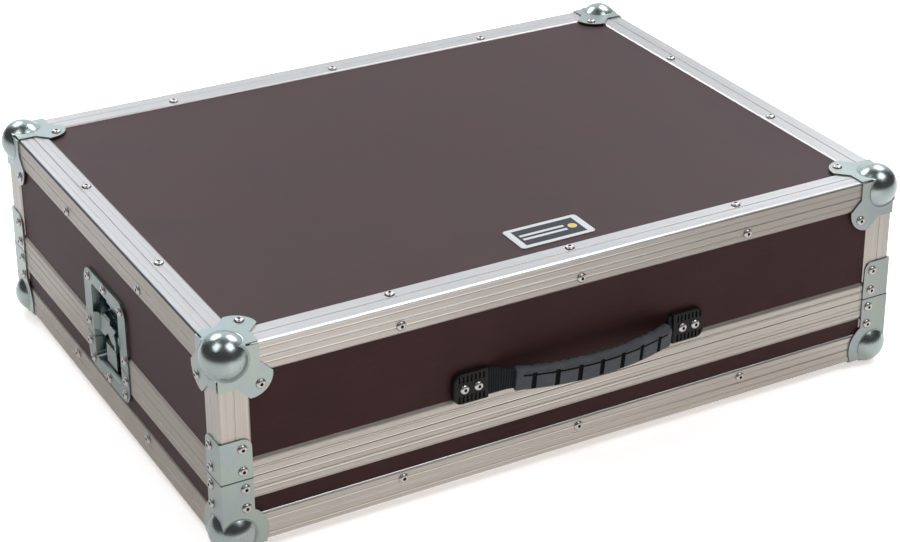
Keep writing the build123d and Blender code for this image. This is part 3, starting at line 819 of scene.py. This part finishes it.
def roundedSection(halfThick, halfTall, radius, count):
    # even points round a rounded rectangle, with their outward directions
    flatOut, flatDown = halfThick - radius, halfTall - radius
    quarterTurn = 0.5 * math.pi
    legs = [2 * flatDown, quarterTurn * radius, 2 * flatOut, quarterTurn * radius] * 2
    centres = (
        (flatOut, flatDown), (-flatOut, flatDown), (-flatOut, -flatDown), (flatOut, -flatDown)
    )
    found = []
    for k in range(count):
        walk = sum(legs) * k / count
        for leg, size in enumerate(legs):
            if walk <= size or leg == len(legs) - 1:
                break
            walk -= size
        corner, bent = divmod(leg, 2)
        turn = corner * quarterTurn + (walk / radius if bent else 0)
        along = 0 if bent else walk - size  # the straight runs up to this corner
        c, s = math.cos(turn), math.sin(turn)
        out, down = centres[corner]
        found.append((out + radius * c - along * s, down + radius * s + along * c, c, s))
    return found


def gripInset(along, out, down):
    # depth of the moulded grooves at a point of the sleeve's surface
    high = down < grip["halfTall"] - grooves["under"]
    outer = smooth(*grooves["outFrom" if high else "underFrom"], out)
    below = smooth(*(grooves["seam"] + d for d in grooves["belowSeam"]), down)
    below *= 1 - smooth(*(grip["halfTall"] - d for d in grooves["toUnderside"]), down)
    depth = 0.0
    for i in range(grooves["count"]):
        centre = (i - (grooves["count"] - 1) / 2) * grooves["pitch"]
        groove = 1 - smooth(*grooves["half"], abs(along - centre))
        depth = max(depth, groove * below * outer * grooves["depth"])
    seam = 1 - smooth(*grooves["seamHalf"], abs(down - grooves["seam"]))
    seam *= smooth(*grooves["seamOut"], out)
    seam *= 1 - smooth(*(grip["chord"] / 2 - d for d in grooves["seamEnd"]), abs(along))
    fingers = 0.5 - 0.5 * math.cos(2 * math.pi * along / grooves["fingerPitch"])
    inner = smooth(*grooves["finger"], fingers) * smooth(*grooves["fingerBack"], -out)
    inner *= 1 - smooth(*grooves["fingerEnd"], abs(along))
    return max(depth, seam * grooves["seamDepth"], inner * grooves["fingerDepth"])


def gripSleeve():
    section = roundedSection(grip["halfThick"], grip["halfTall"], grip["round"], grip["around"])
    points, faces, marks, sunk = [], [], [], []
    steps, around, endRound = grip["steps"], grip["around"], grip["endRound"]
    for i in range(steps + 1):
        angle = (2 * i / steps - 1) * grip["halfAngle"]
        along = angle * grip["arc"]
        fromEnd = grip["arc"] * grip["halfAngle"] - abs(along)
        short = 1 - min(1.0, fromEnd / endRound)
        pinch = endRound * (1 - math.sqrt(max(0.0, 1 - short**2)))
        swell = grip["skin"] * (1 - smooth(*grip["swollen"], fromEnd))
        for out, down, nOut, nDown in section:
            sunk.append(gripInset(along, out, down))
            inset = sunk[-1] + pinch + grip["skin"] - swell
            points.append(gripPoint(angle, out - nOut * inset, down - nDown * inset))
    for i in range(steps):
        for k in range(around):
            a, b = i * around + k, i * around + (k + 1) % around
            faces.append((a, b, b + around, a + around))
            deepest = max(sunk[v] for v in faces[-1])
            # faces deep in the grooves take the finish with painted shade
            marks.append(int(deepest > grooves["dark"] and section[k][0] > 0))
    for first, order in ((0, 1), (steps * around, -1)):
        end = -order * grip["halfAngle"]
        rings = [list(range(first, first + around))]
        for scaleOut, scaleDown, deep in grip["mouth"]:
            inward = end - math.copysign(deep / grip["arc"], end)
            rings.append(list(range(len(points), len(points) + around)))
            points += [gripPoint(inward, s[0] * scaleOut, s[1] * scaleDown) for s in section]
        for one, two in zip(rings, rings[1:]):
            for k in range(around):
                j = (k + 1) % around
                faces.append((one[k], one[j], two[j], two[k])[::-order])
        faces.append(rings[-1][::-order])
    return points, faces, marks + [0] * (len(faces) - len(marks))


points, faces, marks = gripSleeve()
sleeve = outward(piece("gripSleeve", points, faces, ("rubber", "groove"), marks=marks))
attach(sleeve, "handle")
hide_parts("handle_grip")


def strapLine(hand, share):
    # middle and across direction of the webbing, from inside the plate to inside the grip
    outOfPlate = Vector((-hand, 0, 0))
    start = strap["level"] - outOfPlate * strap["mouth"]
    end = gripPoint(hand * grip["halfAngle"], 0, 0)
    inside = gripPoint(hand * (grip["halfAngle"] - strap["hidden"] / grip["arc"]), 0, 0)
    inward = (inside - end).normalized()
    span = (end - start).length
    walk = share * (span + 2 * strap["hidden"]) - strap["hidden"]
    t = max(0.0, min(1.0, walk / span))
    if walk < 0:
        middle = start + outOfPlate * walk
    elif walk > span:
        middle = end + inward * (walk - span)
    else:
        middle = (
            start * (2 * t**3 - 3 * t**2 + 1)
            + outOfPlate * span * strap["slack"] * (t**3 - 2 * t**2 + t)
            + end * (3 * t**2 - 2 * t**3)
            + inward * span * strap["slack"] * (t**3 - t**2)
        )
    lean = grip["droop"] * smooth(0, 1, t)
    across = Vector((0, math.sin(lean), -math.cos(lean)))
    return middle, across, walk, smooth(*strap["rolls"], t)


def strapEnd(hand):
    points, faces = [], []
    steps, count, nearby = strap["steps"], strap["across"], 0.01
    ring = 2 * (count + 1)
    for i in range(steps + 1):
        share = i / steps
        middle, across, walk, rolled = strapLine(hand, share)
        halfWide, halfThick = (
            flat + (folded - flat) * rolled
            for flat, folded in (strap["halfWide"], strap["halfThick"])
        )
        ahead = strapLine(hand, min(1.0, share + nearby))[0]
        ahead = ahead - strapLine(hand, max(0.0, share - nearby))[0]
        face = ahead.normalized().cross(across).normalized() * -hand
        rib = strap["rib"] * math.cos(2 * math.pi * walk / strap["ribPitch"])
        for side in (1, -1):
            for k in range(count + 1):
                place = (2 * k / count - 1) * side
                edgeIn = math.sqrt(max(0.0, 1 - abs(place) ** 8))
                wave = rib * (1 if k % 2 else -1) * 0.45 + abs(rib) * 0.5
                thick = (halfThick + wave) * (0.45 + 0.55 * edgeIn)
                points.append(middle + across * place * halfWide + face * thick * side)
    for i in range(steps):
        for k in range(ring):
            a, j = i * ring, (k + 1) % ring
            faces.append((a + k, a + j, a + j + ring, a + k + ring))
    faces.append(list(range(ring)))
    faces.append([steps * ring + k for k in range(ring)])
    return points, faces


for hand, sign in zip(handNames, (-1, 1)):
    points, faces = strapEnd(sign)
    webbing = outward(piece(f"strapWebbing_{hand}", points, faces, ("webbing",)))
    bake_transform(webbing)
    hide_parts("handle_strap")


print("foam lining")

foam = {
    "round": 2.2 * mm,
    "cell": 14 * mm,
    "wander": 0.35 * mm,
    "waves": 40.0,
    "flat": 0.01 * mm,  # points this close to a face are on it
}


def foamSheet(name, outline, low, high):
    # a sheet cut with a knife: straight sides, softly rounded arrises, a slightly uneven face
    work = bmesh.new()
    base = work.faces.new([work.verts.new((x, y, low)) for x, y in outline])
    lifted = bmesh.ops.extrude_face_region(work, geom=[base])["geom"]
    raised = [g for g in lifted if isinstance(g, bmesh.types.BMVert)]
    bmesh.ops.translate(work, verts=raised, vec=(0, 0, high - low))
    bmesh.ops.recalc_face_normals(work, faces=work.faces)
    bmesh.ops.bevel(
        work, geom=list(work.edges), offset=foam["round"], segments=3, profile=0.6, affect="EDGES"
    )
    for axis in (0, 1):
        values = [v.co[axis] for v in work.verts]
        first, last = min(values), max(values)
        count = max(1, int((last - first) / foam["cell"]))
        normal = Vector((0, 0, 0))
        normal[axis] = 1
        for i in range(1, count):
            everything = list(work.verts) + list(work.edges) + list(work.faces)
            place = normal * (first + (last - first) * i / count)
            bmesh.ops.bisect_plane(work, geom=everything, plane_co=place, plane_no=normal)
    for vertex in work.verts:
        if low + foam["flat"] < vertex.co.z < high - foam["flat"]:
            continue
        sink = foam["wander"] * (0.5 + 0.5 * noise.noise(vertex.co * foam["waves"]))
        vertex.co.z += sink if vertex.co.z < (low + high) / 2 else -sink
    work.verts.index_update()
    points = [v.co.copy() for v in work.verts]
    faces = [[v.index for v in face.verts] for face in work.faces]
    work.free()
    return piece(name, points, faces, ("foam",))


def planOutline(points):
    # the solid seen from above: a rectangle, or one with the notch behind a keeper
    xs = sorted({round(p.x, 5) for p in points})
    ys = sorted({round(p.y, 5) for p in points})
    left, right, front, back = xs[0], xs[-1], ys[0], ys[-1]
    if len(xs) < 3 or len(ys) < 3:
        return [(left, front), (right, front), (right, back), (left, back)]
    notch, near, far = xs[1], ys[1], ys[-2]
    if left < 0:  # the left strip is notched on its outer, left side
        return [
            (left, front), (right, front), (right, back), (left, back),
            (left, far), (notch, far), (notch, near), (left, near),
        ]
    return [
        (left, front), (right, front), (right, near), (notch, near),
        (notch, far), (right, far), (right, back), (left, back),
    ]


for node, body in (("tray_foam", "tray"), ("lid_foam", "lid")):
    for i, points in enumerate(solids(node)):
        low, high = corners(points)
        sheet = foamSheet(f"{node}Sheet{i}", planOutline(points), low.z, high.z)
        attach(sheet, body)
        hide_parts(node)


print("floor, light and camera")

studio = {
    "floorTone": (0.94, 0.93, 0.925),
    "floorLift": (0.56, 0.53, 0.51),  # of the paper, as the camera and mirrors see it
    "leftDim": (-0.42, -0.30),  # and where mirrors see less of it, as painted shade in the reflections, each from and to
    "farLeftDim": (-0.56, -0.40),
    "rightDim": (0.05, 0.50),
    "frontDim": (-0.62, -0.38),
    "floorHalf": 9,
    "room": (0.095, 0.092, 0.095),
    "glow": (1.18, 1.27, 1.38),  # the lit wall behind the case
    "glowAt": (0.455, 0.787, 0.416),
    "glowEdge": (0.55, 0.97),
    "lampTone": (0.88, 0.94, 1.0),
}


def floorFinish():
    f = Finish("paleFloor")
    cloud = f.grain(f.point, 3.0, 2.0, 0.5)
    tone = f.tint(cloud, studio["floorTone"], tuple(c - 0.01 for c in studio["floorTone"]))
    camera, glossy, through = (
        f.node("ShaderNodeLightPath", {}, {}, f"Is {ray} Ray")
        for ray in ("Camera", "Glossy", "Transmission")
    )
    side, deep = f.along(0), f.along(1)
    # the floor's glow seen in reflections is dimmed here and there: painted shade in the
    # reflections
    even = side.step(*studio["leftDim"]) * 0.5 + side.step(*studio["farLeftDim"]) * 0.25 + 0.25
    ahead = 1 - deep.step(*studio["frontDim"])
    even = even - side.step(*studio["rightDim"]) * (0.3 + ahead * 0.55)
    seen = (camera + through + glossy * even).least(1.0)
    lift = f.tint(seen, (0, 0, 0), studio["floorLift"])
    return f.surface(
        {
            "Base Color": tone,
            "Roughness": 0.9 + cloud * 0.05,
            "Emission Color": lift,
            "Emission Strength": 1.0,
        }
    )


finishes["floor"] = floorFinish()
half = studio["floorHalf"]
rim = [(-half, -half, 0), (half, -half, 0), (half, half, 0), (-half, half, 0)]
floor = piece("floor", rim, [(0, 1, 2, 3)], ("floor",), smooth=False)

room = Finish("studioRoom", bpy.data.worlds, "Generated")
glow = room.node(
    "ShaderNodeVectorMath",
    {"operation": "DOT_PRODUCT"},
    {0: room.point, 1: studio["glowAt"]},
    "Value",
)
shade = room.tint(glow.step(*studio["glowEdge"]), studio["room"], studio["glow"])
dim = room.node("ShaderNodeBackground", {}, {"Color": shade, "Strength": 1.0})
room.node("ShaderNodeOutputWorld", {}, {"Surface": dim})
bpy.context.scene.world = room.made

lamps = (  # name, place, size, watts: four square softboxes under the ceiling
    ("softboxLeft", (-1.45, -0.26, 2.35), 1.15, 15),
    ("softboxRight", (1.22, -1.92, 3.6), 1.9, 66),
    ("softboxBackLeft", (-0.46, 2.30, 2.4), 1.3, 46),
    ("softboxBackRight", (1.75, 0.85, 2.4), 1.3, 42),
)
target = Vector((0, case["middle"], 0.1))
for name, place, size, watts in lamps:
    lamp = bpy.data.lights.new(name, "AREA")
    lamp.shape = "SQUARE"
    lamp.size = size
    lamp.energy = watts
    lamp.color = studio["lampTone"]
    holder = bpy.data.objects.new(name, lamp)
    holder.location = place
    holder.rotation_euler = (target - Vector(place)).to_track_quat("-Z", "Y").to_euler()
    bpy.context.scene.collection.objects.link(holder)

view = {  # solved from the photograph's straight edges, in millimetres and picture widths
    "place": (-974.2, -1809.07, 1137.8),  # from the middle of the case
    "ahead": (0.4551, 0.7873, -0.4159),
    "right": (0.8669, -0.4984, 0.0052),
    "focal": 2239.8 / 900,
    "middle": (502.3 / 900, 160.2 / 900),
    "aspect": 542 / 900,
    "film": 36,
    "farthest": 50,
}
camera = bpy.data.cameras.new("camera")
camera.sensor_width = view["film"]
camera.lens = view["film"] * view["focal"]
camera.shift_x = 0.5 - view["middle"][0]
camera.shift_y = view["middle"][1] - view["aspect"] / 2
camera.clip_end = view["farthest"]
eye = bpy.data.objects.new("camera", camera)
back = -Vector(view["ahead"]).normalized()
right = Vector(view["right"])
right = (right - back * right.dot(back)).normalized()
up = back.cross(right)
place = Vector(view["place"]) * mm + Vector((0, case["middle"], 0))
eye.matrix_world = Matrix(
    [[right[i], up[i], back[i], place[i]] for i in range(3)] + [[0, 0, 0, 1]]
)
bpy.context.scene.collection.objects.link(eye)
bpy.context.scene.camera = eye
bpy.context.scene.view_settings.view_transform = "Standard"
